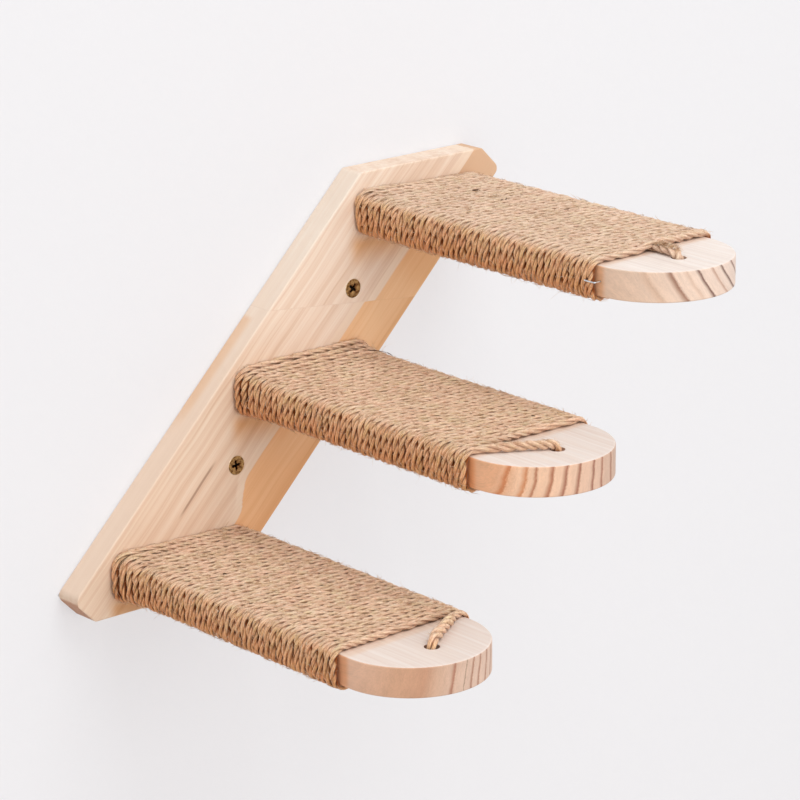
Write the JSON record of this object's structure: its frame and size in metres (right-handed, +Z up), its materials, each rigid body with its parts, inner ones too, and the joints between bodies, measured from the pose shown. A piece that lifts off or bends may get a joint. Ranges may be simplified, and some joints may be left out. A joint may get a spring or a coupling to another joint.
{
  "type": "cat climbing wall",
  "caption": "Wall-mounted cat climbing ladder: a slanted pine backboard carries round-nosed treads wound with jute rope, held by countersunk wall screws.",
  "frame": {"origin": "halfway between the two wall screws, on the backboard's back face, which lies on the wall", "axes": "+X to the right along the wall, +Y into the wall, +Z up; the treads stand out towards -Y"},
  "size_m": [0.3276, 0.3103, 0.235],
  "materials": {
    "backboard_pine": "sanded edge-glued pine, unvarnished",
    "tread_pine": "sanded pine, unvarnished",
    "jute_rope": "twisted natural jute",
    "yellow_zinc": "yellow zinc plating",
    "plain_steel": "bright zinc plating"
  },
  "bodies": {
    "root": {"backboard": "backboard_pine", "tread_top": "tread_pine", "tread_middle": "tread_pine", "tread_bottom": "tread_pine", "rope_top": "jute_rope", "rope_middle": "jute_rope", "rope_bottom": "jute_rope", "tread_screw_top_left": "plain_steel", "tread_screw_top_right": "plain_steel", "tread_screw_middle_left": "plain_steel", "tread_screw_middle_right": "plain_steel", "tread_screw_bottom_left": "plain_steel", "tread_screw_bottom_right": "plain_steel", "wall_screw_upper": "yellow_zinc", "wall_screw_lower": "yellow_zinc", "rope_staple": "plain_steel"}
  },
  "joints": []
}
